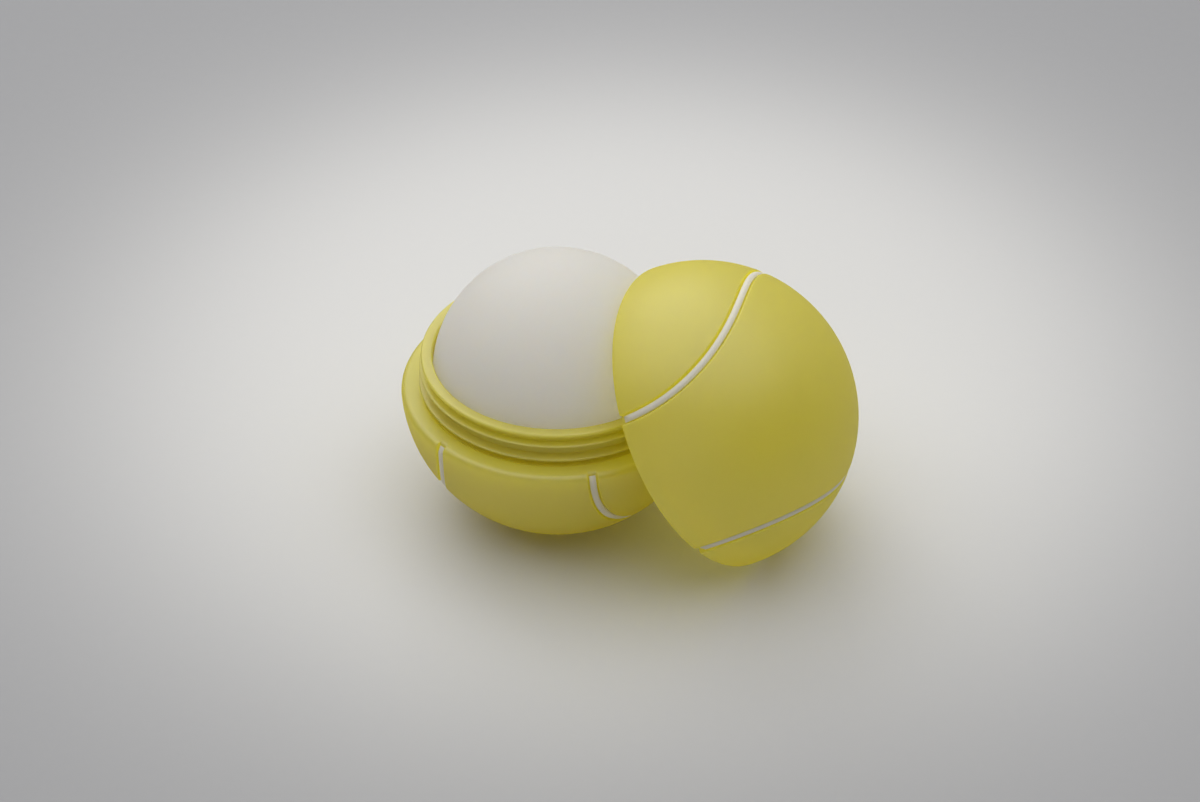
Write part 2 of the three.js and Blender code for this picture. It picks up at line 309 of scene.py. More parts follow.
@dataclass(frozen=True)
class MouldedPlastic:
    """Moulded plastic: an even colour with faint clouds, and a fine satin grain that scatters gloss."""

    name: str
    colour: Colour
    cloud_colour: Colour
    roughness: float
    cloud_size: float = 9 * MM
    haze: float = 0.1
    haze_size: float = 3.5 * MM
    grain_size: float = 0.22 * MM
    grain_depth: float = 0.004 * MM
    swell_size: float = 7 * MM
    swell_share: float = 2.0
    coat: float = 0.0
    coat_roughness: float = 0.5
    coat_ior: float = 1.5
    softness: float = 0.0
    glow: Vector3 = (1.0, 1.0, 1.0)
    glow_reach: float = 1 * MM
    passed: float = 0.0
    tint: Colour = WHITE

    def material(self) -> bpy.types.Material:
        """Builds the material.

        Returns:
            Colour mixed by soft clouds, roughness that drifts, and a bump of grain on slow swells.
        """
        material, graph = new_material(self.name)
        clouds = graph.noise(self.cloud_size, detail=3)
        drift = graph.noise(self.haze_size, detail=4) - 0.5
        grain = graph.noise(self.grain_size) + self.swell_share * graph.noise(self.swell_size, detail=0)
        graph.surface({
            "Base Color": graph.blend(clouds, self.colour, self.cloud_colour),
            "Roughness": self.roughness + self.haze * drift,
            "Normal": graph.bump(grain, self.grain_depth),
            "Subsurface Weight": self.softness,
            "Subsurface Radius": self.glow,
            "Subsurface Scale": self.glow_reach,
            "Coat Weight": self.coat,
            "Coat Roughness": self.coat_roughness,
            "Coat IOR": self.coat_ior,
        }, self.passed, self.tint)
        return material


@dataclass(frozen=True)
class CastWax:
    """Cast balm: pale wax with faint clouds in it, a soft skin and a few fine pits, lit from within."""

    name: str
    colour: Colour
    cloud_colour: Colour
    roughness: float = 0.5
    haze: float = 0.16
    cloud_size: float = 8 * MM
    swell_size: float = 5 * MM
    haze_size: float = 3 * MM
    skin_size: float = 0.5 * MM
    skin_share: float = 0.25
    relief: float = 0.03 * MM
    pit_size: float = 1.7 * MM
    pit_reach: float = 0.16
    pit_share: float = 0.3
    softness: float = 1.0
    glow: Vector3 = (1.0, 0.9, 0.8)
    glow_reach: float = 10 * MM
    passed: float = 0.52
    tint: Colour = paint(0xFFFEFF)

    def material(self) -> bpy.types.Material:
        """Builds the material.

        Returns:
            Clouded colour, drifting roughness, and a bump of swells, skin grain and pits.
        """
        material, graph = new_material(self.name)
        clouds = graph.noise(self.cloud_size, detail=4)
        drift = graph.noise(self.haze_size, detail=3) - 0.5
        spots = {"Vector": graph.place(), "Scale": 1 / self.pit_size}
        cells = graph.signal("ShaderNodeTexVoronoi", {}, spots)
        pits = graph.smooth(cells, 0.0, self.pit_reach, 1.0, 0.0)
        skin = graph.noise(self.skin_size, detail=3)
        height = graph.noise(self.swell_size) + self.skin_share * skin - self.pit_share * pits
        graph.surface({
            "Base Color": graph.blend(clouds, self.colour, self.cloud_colour),
            "Roughness": self.roughness + self.haze * drift,
            "Normal": graph.bump(height, self.relief),
            "Subsurface Weight": self.softness,
            "Subsurface Radius": self.glow,
            "Subsurface Scale": self.glow_reach,
        }, self.passed, self.tint)
        return material


@dataclass(frozen=True)
class PaperWithPaintedLightPool:
    """Pale matt floor with a painted pool of light: its colour is lightest under the object and greyer
    further out.
    """

    name: str = "paper_with_painted_light_pool"
    # Painted light: the middle colour is the lit pool under the object, the edge colour the dimmer paper far
    # out.
    middle: Colour = paint(0xDCDBD9)
    edge: Colour = paint(0x9C9C9E)
    painted_light_centre: Vector3 = (1 * MM, 30 * MM, 0.0)
    painted_light_reach: float = 78 * MM
    fall: float = 5.6
    fibre_size: float = 1.5 * MM
    fibre_tint: float = 0.03
    roughness: float = 0.8
    gloss: float = 0.3

    def material(self) -> bpy.types.Material:
        """Builds the material.

        Returns:
            Paper whose share of the painted light's middle colour is 1 / (1 + (distance / reach) to the
            power of fall).
        """
        material, graph = new_material(self.name)
        offset = graph.vectors("DISTANCE", graph.place(), self.painted_light_centre)
        distance = Signal(graph, offset.outputs["Value"])
        # Painted light: the pool of light is painted into the paper's colour and falls off with distance
        # from its centre.
        share = 1 / (1 + (distance / self.painted_light_reach) ** self.fall)
        fibres = self.fibre_tint * (graph.noise(self.fibre_size, detail=4) - 0.5)
        graph.surface({
            "Base Color": graph.blend(share + fibres, self.edge, self.middle),
            "Roughness": self.roughness,
            "Specular IOR Level": self.gloss,
        })
        return material


def unit(vectors: np.ndarray) -> np.ndarray:
    """Scales vectors in the last axis to length one."""
    return vectors / np.linalg.norm(vectors, axis=-1, keepdims=True)


def ease(share: np.ndarray) -> np.ndarray:
    """Smooth step from 0 to 1: 3 s squared less 2 s cubed, with s held between 0 and 1."""
    held = np.clip(share, 0, 1)
    return held * held * (3 - 2 * held)


def azimuth_of(points: np.ndarray) -> np.ndarray:
    """Azimuth of points about the Z axis, from -Y towards +X."""
    return np.arctan2(points[..., 0], -points[..., 1])


def around(azimuth: np.ndarray, radius: Level, height: Level) -> np.ndarray:
    """Points at an azimuth, a radius and a height, which are numbers or arrays that fit each other."""
    sine, cosine, level = np.broadcast_arrays(radius * np.sin(azimuth), radius * np.cos(azimuth), height)
    return np.stack([sine, -cosine, level], axis=-1)


def over_ball(first: np.ndarray, last: np.ndarray, shares: np.ndarray, radius: float) -> np.ndarray:
    """Lines over a ball: each chord from a first point to a last point, pushed out to the radius.

    Args:
        first: Start points, one row each.
        last: End points, one row each.
        shares: Places along each line, 0 to 1.
        radius: Radius of the ball.

    Returns:
        A grid of points, a row for each line.
    """
    steps = shares[None, :, None]
    return radius * unit(first[:, None] * (1 - steps) + last[:, None] * steps)


def arc(centre: tuple[float, float], radius: float, start: float, end: float, steps: int) -> np.ndarray:
    """Arc in a profile of radius and height.

    Args:
        centre: Radius and height of the arc's centre.
        radius: Radius of the arc.
        start: First angle, from the radius axis.
        end: Last angle.
        steps: Number of steps.

    Returns:
        Rows of radius and height.
    """
    angle = np.linspace(start, end, steps + 1)
    return np.array(centre) + radius * np.stack([np.cos(angle), np.sin(angle)], axis=-1)


def straight(start: tuple[float, float], end: tuple[float, float], steps: int) -> np.ndarray:
    """Straight stretch of a profile, in equal steps."""
    return np.linspace(start, end, steps + 1)


@dataclass(frozen=True)
class Surface:
    """Points and four-cornered faces of a mesh."""

    points: np.ndarray
    faces: np.ndarray

    @classmethod
    def grid(cls, points: np.ndarray, close_rows: bool = False, close_columns: bool = False) -> "Surface":
        """Joins a grid of points by faces.

        Args:
            points: Array of rows, columns and three coordinates.
            close_rows: The last row is joined to the first.
            close_columns: The last column is joined to the first.

        Returns:
            The surface.
        """
        index = np.arange(points.shape[0] * points.shape[1]).reshape(points.shape[:2])
        if close_rows:
            index = np.vstack([index, index[:1]])
        if close_columns:
            index = np.hstack([index, index[:, :1]])
        corners = [index[:-1, :-1], index[1:, :-1], index[1:, 1:], index[:-1, 1:]]
        return cls(points.reshape(-1, 3), np.stack(corners, axis=-1).reshape(-1, 4))

    @classmethod
    def revolve(cls, profile: np.ndarray, sectors: int) -> "Surface":
        """Turns a profile of radius and height round the Z axis, in equal sectors."""
        azimuth = np.linspace(0, 2 * math.pi, sectors, endpoint=False)[:, None]
        return cls.grid(around(azimuth, profile[None, :, 0], profile[None, :, 1]), close_rows=True)

    @classmethod
    def joined(cls, *parts: "Surface") -> "Surface":
        """Puts surfaces into one, with each one's points numbered after the last one's.

        Args:
            parts: The surfaces.

        Returns:
            One surface.
        """
        starts = np.cumsum([0] + [len(part.points) for part in parts[:-1]])
        faces = [part.faces + start for part, start in zip(parts, starts)]
        return cls(np.vstack([part.points for part in parts]), np.vstack(faces))

    def placed(self, turn: np.ndarray, centre: np.ndarray) -> "Surface":
        """Turns the surface by a 3 by 3 matrix and moves it to a centre."""
        return Surface(self.points @ turn.T + centre, self.faces)

    def raised(self, height: float) -> "Surface":
        """Moves the surface up."""
        return Surface(self.points + [0, 0, height], self.faces)

    def make(self, name: str, material: bpy.types.Material) -> bpy.types.Object:
        """Makes a Blender piece: merged at seams and poles, facing outwards, smooth but for sharp edges.

        Args:
            name: Name of the piece.
            material: Its finish.

        Returns:
            The object, at the origin.
        """
        mesh = bpy.data.meshes.new(name)
        mesh.from_pydata(self.points, [], self.faces.tolist())
        shaper = bmesh.new()
        shaper.from_mesh(mesh)
        bmesh.ops.remove_doubles(shaper, verts=shaper.verts, dist=MERGE_DISTANCE)
        bmesh.ops.dissolve_degenerate(shaper, dist=COLLAPSE_DISTANCE, edges=shaper.edges)
        bmesh.ops.recalc_face_normals(shaper, faces=shaper.faces)
        shaper.to_mesh(mesh)
        shaper.free()
        mesh.shade_smooth()
        mesh.set_sharp_from_angle(angle=SHARP_ANGLE)
        mesh.materials.append(material)
        piece = bpy.data.objects.new(name, mesh)
        bpy.context.scene.collection.objects.link(piece)
        return piece


def report(piece: bpy.types.Object) -> None:
    """Logs a finished piece."""
    log.info("%s: %d points, %d faces", piece.name, len(piece.data.vertices), len(piece.data.polygons))


def dress(node: bpy.types.Object, material: bpy.types.Material) -> None:
    """Gives a CAD node a finish and keeps its shape.

    Args:
        node: The node's object.
        material: Its finish.
    """
    node.data.materials.clear()
    node.data.materials.append(material)
    report(node)


def add_piece(surface: Surface, node: str, material: bpy.types.Material, body: Body) -> None:
    """Puts a piece in the place of its CAD node.

    Args:
        surface: The piece's surface, in place.
        node: The CAD node that it stands for.
        material: Its finish.
        body: The body that it rides on.
    """
    piece = surface.make(f"{node}_fine", material)
    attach(piece, body.value)
    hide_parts(node)
    report(piece)


@dataclass(frozen=True)
class SeamCurve:
    """The line of the white seam on a ball of radius one.

    It swings round the ball in two lobes. Its arms come closest at the waist, on the -Y side,
    where they cross the parting plane, and the upper lobe closes on the +Y side. A smaller swing
    makes the arms straighter and the lobes squarer.
    """

    half_waist: float = math.radians(30.2)
    swing: float = 0.81
    fine_steps: int = 4000
    slope_step: float = 1e-4

    def points(self, turn: np.ndarray) -> np.ndarray:
        """Points of the curve: a circle with a third harmonic, swinging by the sine of twice the turn.

        Args:
            turn: Turns along the curve.

        Returns:
            Points on the ball, one row each.
        """
        bend = math.atan(self.swing * math.tan(self.half_waist))
        wide = (1 + math.sin(bend)) / 2
        narrow = 1 - wide
        x = wide * np.cos(turn) + narrow * np.cos(3 * turn)
        y = wide * np.sin(turn) - narrow * np.sin(3 * turn)
        z = self.swing * math.cos(bend) * np.sin(2 * turn)
        return unit(np.stack([(x + y) / math.sqrt(2), -z, (y - x) / math.sqrt(2)], axis=-1))

    def stations(self, count: int, start_height: float) -> np.ndarray:
        """Turns that are evenly spread along the upper half of the curve.

        Args:
            count: Number of stations.
            start_height: Height of both ends above the parting plane, as a share of the radius.

        Returns:
            The turns, from the +X arm over the lobe to the -X arm.
        """
        first, middle = math.pi / 4, 3 * math.pi / 4
        rise = np.linspace(first, (first + middle) / 2, self.fine_steps)
        start = np.interp(start_height, self.points(rise)[:, 2], rise)
        turn = np.linspace(start, 2 * middle - start, self.fine_steps)
        return np.interp(np.linspace(0, 1, count), path_share(self.points(turn)), turn)

    def frame(self, turn: np.ndarray) -> tuple[np.ndarray, np.ndarray]:
        """Directions at places of the curve.

        Args:
            turn: Turns along the curve.

        Returns:
            Directions outwards, and across the curve towards the inside of the lobe.
        """
        outward = self.points(turn)
        along = unit(self.points(turn + self.slope_step) - self.points(turn - self.slope_step))
        return outward, unit(np.cross(outward, along))


def path_share(points: np.ndarray) -> np.ndarray:
    """How far each point lies along a path, from 0 to 1."""
    length = np.concatenate([[0], np.cumsum(np.linalg.norm(np.diff(points, axis=0), axis=-1))])
    return length / length[-1]


@dataclass(frozen=True)
class SeamGroove:
    """Channel that the seam strip lies in, with rounded upper edges and a rounded bed."""

    width: float = 1.3 * MM
    depth: float = 0.7 * MM
    edge: float = 0.2 * MM
    edge_steps: int = 7
    bed_edge: float = 0.12 * MM
    bed_steps: int = 3
    support: float = 0.06 * MM

    def section(self) -> tuple[np.ndarray, np.ndarray]:
        """Cross section, from the inside of the lobe to its outside.

        Returns:
            Distances from the middle line, and depths under the ball's surface.
        """
        half = self.width / 2
        rounded = arc((half + self.edge, self.edge), self.edge, -math.pi / 2, -math.pi, self.edge_steps)
        corner = (half - self.bed_edge, self.depth - self.bed_edge)
        bed = arc(corner, self.bed_edge, 0, math.pi / 2, self.bed_steps)
        outer = np.array([[half + self.edge + self.support, 0]])
        side = np.vstack([outer, rounded, bed])
        middle = np.array([[0, self.depth]])
        section = np.vstack([side, middle, side[::-1] * [-1, 1]])
        return section[:, 0], section[:, 1]


@dataclass(frozen=True)
class SeamStrip:
    """White strip that lies in the groove with a gap on both sides. Its top is crowned."""

    width: float = 0.84 * MM
    crest: float = 0.1 * MM
    crown: float = 0.16 * MM
    bottom: float = 0.69 * MM
    steps: int = 10
    end_gap: float = 0.4 * MM
    end_taper: float = 0.9 * MM

    def surface(self, half: "HalfBall") -> Surface:
        """Carries the section along the seam of half a ball, and closes both ends.

        The crown is a parabola. Towards each end the top sinks to the bottom by a smooth step.

        Args:
            half: The half whose groove the strip lies in.

        Returns:
            The strip.
        """
        radius = half.radius
        turn = half.seam.stations(half.stations, (half.cut + self.end_gap) / radius)
        outward, across = half.seam.frame(turn)
        share = np.linspace(1, -1, self.steps + 1)
        offset = np.concatenate([[1], share, [-1]]) * self.width / 2
        depth = np.concatenate([[self.bottom], self.crest + self.crown * share**2, [self.bottom]])
        angle = (offset / radius)[None, :, None]
        way = np.linspace(0, 1, half.stations)
        length = radius * np.linalg.norm(np.diff(outward, axis=0), axis=-1).sum()
        standing = ease(np.minimum(way, 1 - way) * length / self.end_taper)
        level = radius - self.bottom + (self.bottom - depth[None]) * standing[:, None]
        loops = level[..., None] * (outward[:, None] * np.cos(angle) + across[:, None] * np.sin(angle))
        ends = np.repeat(loops[[0, -1]].mean(axis=1, keepdims=True), loops.shape[1], axis=1)
        return Surface.grid(np.concatenate([ends[:1], loops, ends[1:]]), close_columns=True)


@dataclass(frozen=True)
class Rim:
    """Points where a half's outer skin ends, in order of azimuth."""

    azimuth: np.ndarray
    radius: np.ndarray


@dataclass(frozen=True)
class HalfBall:
    """Outer skin of half the ball, dome up round the ball's middle, with the seam's groove in it.

    The skin ends where the rim's rounded edge begins. It is made of three grids that share their
    edges: a band along the groove, the side between the band and the rim, and the tongue inside the
    lobe, which runs up to the crown.
    """

    radius: float
    cut: float
    edge: float
    seam: SeamCurve
    groove: SeamGroove
    stations: int = 240
    waist_steps: int = 52
    side_steps: int = 24
    tongue_steps: int = 26
    crown_angle: float = math.radians(29)
    crown_lean: float = 1.4

    def skin(self, crown: np.ndarray) -> tuple[Surface, Rim]:
        """Builds the skin.

        Args:
            crown: Profile from the crown's circle to the axis.

        Returns:
            The skin, and the rim that it ends in.
        """
        band = self._band()
        inner, outer = band[:, 0], band[:, -1]
        end = self.cut + self.edge
        reach = math.sqrt(self.radius**2 - end**2)
        waist_end = float(azimuth_of(inner[0]))
        side_start = float(azimuth_of(outer[0]))
        waist = np.linspace(-waist_end, waist_end, self.waist_steps + 1)
        side = side_start + path_share(outer) * 2 * (math.pi - side_start)
        side_rim = around(side, reach, end)
        skirt = over_ball(outer, side_rim, np.linspace(0, 1, self.side_steps + 1), self.radius)
        waist_rim = around(waist, reach, end)
        tongue = self._tongue(np.vstack([waist_rim, inner[1:-1]]), crown)
        skin = Surface.joined(Surface.grid(band), Surface.grid(skirt), tongue)
        ends = band[[0, -1], 1:-1]
        notch = azimuth_of(ends)
        notch_reach = np.hypot(ends[..., 0], ends[..., 1])
        azimuth = np.concatenate([waist, notch[0], side, notch[1, ::-1] + 2 * math.pi])
        radius = np.concatenate([
            np.full(len(waist), reach),
            notch_reach[0],
            np.full(len(side), reach),
            notch_reach[1, ::-1],
        ])
        return skin, Rim(azimuth, radius)

    def _band(self) -> np.ndarray:
        """Carries the groove's section along the seam, with both ends brought to the rim's height.

        Returns:
            A grid of points, a row for each station.
        """
        end = self.cut + self.edge
        turn = self.seam.stations(self.stations, end / self.radius)
        outward, across = self.seam.frame(turn)
        offset, depth = self.groove.section()
        angle = offset[None, :, None] / self.radius
        reach = self.radius - depth
        band = reach[None, :, None] * (outward[:, None] * np.cos(angle) + across[:, None] * np.sin(angle))
        azimuth = azimuth_of(band[[0, -1]])
        band[[0, -1]] = around(azimuth, np.sqrt(reach**2 - end**2), end)
        return band

    def _tongue(self, border: np.ndarray, crown: np.ndarray) -> Surface:
        """Fills the lobe from its border up to the axis.

        Each border point is led over the ball to the crown's circle. Its azimuth there grows with
        its way along the border from the middle of the waist, to a power that leans it inwards.

        Args:
            border: Closed row of points, from the -X end of the waist round by +X.
            crown: Profile from the crown's circle to the axis.

        Returns:
            The tongue.
        """
        way = path_share(np.vstack([border, border[:1]]))[:-1]
        middle = way[self.waist_steps] / 2
        turn = np.mod(2 * (way - middle) + 1, 2) - 1
        azimuth = math.pi * np.sign(turn) * np.abs(turn) ** self.crown_lean
        circle = around(azimuth, crown[0, 0], crown[0, 1])
        lead = over_ball(border, circle, np.linspace(0, 1, self.tongue_steps + 1)[:-1], self.radius)
        cap = around(azimuth[:, None], crown[None, :, 0], crown[None, :, 1])
        return Surface.grid(np.concatenate([lead, cap], axis=1), close_rows=True)

    def crown_circle(self) -> float:
        """Angle of the crown's circle from the rim plane."""
        return math.pi / 2 - self.crown_angle


def rim_and_inside(rim: Rim, edge: float, inside: np.ndarray, steps: int = 6) -> Surface:
    """Rounds the rim over and goes on along the inside. Heights are taken from the rim's plane.

    At each azimuth the rounding is a quarter circle, held to half of the land that is left there,
    so that the groove's notch keeps a land too.

    Args:
        rim: Where the outer skin ends.
        edge: Radius of the rounding, which is also the height at which the skin ends.
        inside: Profile of the inside, from the rim's land to the axis.
        steps: Steps of the rounding.

    Returns:
        The surface from the outer skin's end to the axis.
    """
    land = rim.radius - inside[0, 0]
    rounding = np.minimum(edge, land / 2)[:, None]
    angle = np.linspace(0, math.pi / 2, steps + 1)[None, :]
    radius = rim.radius[:, None] - rounding * (1 - np.cos(angle))
    height = rounding * (1 - np.sin(angle))
    start = np.stack([rim.radius, np.full(len(rim.radius), edge)], axis=-1)[:, None]
    within = np.repeat(inside[None], len(rim.azimuth), axis=0)
    profile = np.concatenate([start, np.stack([radius, height], axis=-1), within], axis=1)
    return Surface.grid(around(rim.azimuth[:, None], profile[..., 0], profile[..., 1]), close_rows=True)


@dataclass(frozen=True)
class Bead:
    """Ridge that runs level round a wall: a flank below it, a narrow land and a flank above."""

    height: float
    rise: float
    land: float
    upper_flank: float
    lower_flank: float

    def stands_out(self, height: np.ndarray) -> np.ndarray:
        """How far the bead stands out of the wall, with flanks that are smooth steps.

        Args:
            height: Heights on the wall.

        Returns:
            The bead's relief at each height.
        """
        above = height - self.height
        upper = ease(1 - (above - self.land) / self.upper_flank)
        lower = ease(1 + above / self.lower_flank)
        return self.rise * upper * lower


@dataclass(frozen=True)
class Finishes:
    """The materials of the object."""

    shell: bpy.types.Material
    neck: bpy.types.Material
    seam: bpy.types.Material
    wax: bpy.types.Material
    inner: bpy.types.Material

    @classmethod
    def mix(cls) -> "Finishes":
        """Mixes the finishes. The neck is a darker copy of the shell's plastic that also lets less light
        through the cup: painted shade for the recesses between its beads.

        Returns:
            The finishes, as materials.
        """
        shell = MouldedPlastic(
            "satin_yellow_green",
            colour=paint(0xF2FA9A),
            cloud_colour=paint(0xEEF492),
            roughness=0.42,
            softness=0.3,
            glow=(1.0, 0.8, 0.2),
            passed=0.77,
            tint=paint(0xFFF750),
            coat=1.0,
            coat_ior=4.0,
        )
        # Painted shade: the neck is the shell plastic made darker and less translucent, so that its recesses
        # read darker.
        neck = replace(
            shell,
            name="satin_yellow_green_neck_painted_shade",
            colour=paint(0xE2DE72),
            cloud_colour=paint(0xDCD76A),
            passed=0.55,
            coat=0.8,
            coat_ior=2.6,
        )
        seam = MouldedPlastic("seam_white", paint(0xF4F0E8), paint(0xEEE9DE), roughness=0.5, passed=0.25)
        wax = CastWax("balm_wax", paint(0xF8F7F7), paint(0xF4F2F2))
        inner = MouldedPlastic(
            "natural_plastic", paint(0xF0EEE6), paint(0xEAE7DC), roughness=0.45, passed=0.95
        )
        return cls(*(finish.material() for finish in (shell, neck, seam, wax, inner)))


@dataclass
class LowerHalf:
    """Bowl with a flat foot, a rounded shoulder, a bore and a ledge that carries the neck.

    The parting plane lies a little below the middle of its ball.
    """

    radius: float
    parting_height: float
    seam: SeamCurve
    groove: SeamGroove
    strip: SeamStrip
    drop: float = 0.4 * MM
    shoulder_edge: float = 0.85 * MM
    foot_edge: float = 0.6 * MM
    wall: float = 1.8 * MM
    foot_wall: float = 1.8 * MM
    bore: float = 18.3 * MM
    ledge: float = 17.5 * MM
    ledge_depth: float = 4.15 * MM
    foot_support: float = 0.15 * MM
    foot_steps: int = 8
    shoulder_steps: int = 2
    hollow_steps: int = 12

    @property
    def middle_height(self) -> float:
        """Height of the ball's middle over the floor."""
        return self.parting_height + self.drop

    def build(self, finishes: Finishes) -> None:
        """Makes the bowl and its seam strip.

        Args:
            finishes: The materials.
        """
        half = HalfBall(self.radius, self.drop, self.shoulder_edge, self.seam, self.groove)
        skin, rim = half.skin(self._crown(half))
        inside = rim_and_inside(rim, self.shoulder_edge, self._inside())
        bowl = Surface.joined(skin, inside.raised(self.drop))
        strip = self.strip.surface(half)
        add_piece(self._turned_over(bowl), "base_shell", finishes.shell, Body.BASE)
        add_piece(self._turned_over(strip), "base_seam", finishes.seam, Body.BASE)

    def _turned_over(self, surface: Surface) -> Surface:
        """Mirrors a surface that was worked out dome up, and lifts it to the ball's middle."""
        return surface.placed(np.diag([1.0, 1.0, -1.0]), np.array([0, 0, self.middle_height]))

    def _crown(self, half: HalfBall) -> np.ndarray:
        """Profile from the crown's circle over the foot's rounded edge to the axis.

        The rounding touches the ball from inside and the foot's plane.

        Args:
            half: The skin that the crown belongs to.

        Returns:
            Rows of radius and height.
        """
        foot = self.middle_height
        height = foot - self.foot_edge
        radius = math.sqrt((self.radius - self.foot_edge) ** 2 - height**2)
        touch = math.atan2(height, radius)
        return np.vstack([
            arc((0, 0), self.radius, half.crown_circle(), touch, self.foot_steps)[:-1],
            arc((radius, height), self.foot_edge, touch, math.pi / 2, self.foot_steps),
            straight((radius - self.foot_support, foot), (0, foot), self.foot_steps),
        ])

    def _inside(self) -> np.ndarray:
        """Profile of the shoulder's flat, the bore, the ledge and the hollow.

        Returns:
            Rows of radius and height from the parting plane, ending on the axis.
        """
        hollow = self.radius - self.wall
        floor = self.parting_height - self.foot_wall
        floor_angle = math.asin((floor + self.drop) / hollow)
        return np.vstack([
            straight((self.bore + self.shoulder_edge, 0), (self.bore, 0), self.shoulder_steps),
            [[self.bore, self.ledge_depth], [self.ledge, self.ledge_depth]],
            arc((0, -self.drop), hollow, math.acos(self.ledge / hollow), floor_angle, self.hollow_steps),
            [[0, floor]],
        ])


@dataclass
class BeadedNeck:
    """Neck with its lip and beads, and the cup that the balm was cast in."""

    parting_height: float
    radius: float = 18.2 * MM
    recess: float = 17.4 * MM
    beads: tuple[Bead, ...] = (
        Bead(1.0 * MM, rise=1.15 * MM, land=0.2 * MM, upper_flank=0.35 * MM, lower_flank=0.25 * MM),
        Bead(3.2 * MM, rise=1.05 * MM, land=0.12 * MM, upper_flank=0.2 * MM, lower_flank=0.2 * MM),
    )
    bore: float = 16.8 * MM
    height: float = 5 * MM
    lip_bore: float = 16.65 * MM
    lip_height: float = 0.42 * MM
    lip_outer_edge: float = 0.3 * MM
    lip_inner_edge: float = 0.25 * MM
    lip_lower_edge: float = 0.08 * MM
    recess_edge: float = 0.3 * MM
    skirt: float = 4 * MM
    floor: float = 0.95 * MM
    floor_thickness: float = 1.5 * MM
    sectors: int = 240
    wall_steps: int = 90
    skirt_steps: int = 4
    edge_steps: int = 6
    lip_steps: int = 10
    underside_steps: int = 2
    lower_edge_steps: int = 3
    floor_steps: int = 3

    def build(self, finishes: Finishes) -> None:
        """Makes the neck and cup as one turned piece.

        Args:
            finishes: The materials.
        """
        lip_bottom = self.height - self.lip_height
        wall = straight((self.recess, self.recess_edge), (self.recess, lip_bottom), self.wall_steps)
        wall[:, 0] += sum(bead.stands_out(wall[:, 1]) for bead in self.beads)
        profile = np.vstack([self._skirt(), wall, self._lip(lip_bottom)])
        neck = Surface.revolve(profile, self.sectors).raised(self.parting_height)
        # The neck's finish is a darker copy of the shell plastic, painted shade for its recesses.
        add_piece(neck, "balm_cup", finishes.neck, Body.BASE)

    def _skirt(self) -> np.ndarray:
        """Profile from the axis under the cup's floor, round the skirt and up to the foot of the wall.

        Returns:
            Rows of radius and height from the parting plane.
        """
        under = self.floor - self.floor_thickness
        edge = self.recess_edge
        return np.vstack([
            [[0, under], [self.bore, under], [self.bore, -self.skirt]],
            straight((self.radius, -self.skirt), (self.radius, 0), self.skirt_steps),
            arc((self.recess + edge, edge), edge, -math.pi / 2, -math.pi, self.edge_steps)[:-1],
        ])

    def _lip(self, bottom: float) -> np.ndarray:
        """Profile from the wall out under the lip, over it, and down into the cup.

        Args:
            bottom: Height of the lip's underside.

        Returns:
            Rows of radius and height, ending on the axis.
        """
        outer, inner, lower = self.lip_outer_edge, self.lip_inner_edge, self.lip_lower_edge
        under_edge = self.radius - lower
        return np.vstack([
            straight((self.recess + lower, bottom), (under_edge, bottom), self.underside_steps),
            arc((under_edge, bottom + lower), lower, -math.pi / 2, 0, self.lower_edge_steps)[1:],
            arc((self.radius - outer, self.height - outer), outer, 0, math.pi / 2, self.lip_steps),
            arc((self.lip_bore + inner, self.height - inner), inner, math.pi / 2, math.pi, self.edge_steps),
            [[self.lip_bore, bottom], [self.bore, bottom - (self.bore - self.lip_bore)]],
            straight((self.bore, self.floor), (0, self.floor), self.floor_steps),
        ])


@dataclass
class Balm:
    """Domed balm: half a ball on a short straight side."""

    top_height: float
    radius: float
    side: float = 0.4 * MM
    sectors: int = 240
    dome_steps: int = 72
    underside_steps: int = 6

    def build(self, finishes: Finishes) -> None:
        """Makes the dome.

        Args:
            finishes: The materials.
        """
        centre = self.top_height - self.radius
        bottom = centre - self.side
        profile = np.vstack([
            straight((0, bottom), (self.radius, bottom), self.underside_steps),
            arc((0, centre), self.radius, 0, math.pi / 2, self.dome_steps),
        ])
        dome = Surface.revolve(profile, self.sectors)
        add_piece(dome, "balm", finishes.wax, Body.BASE)


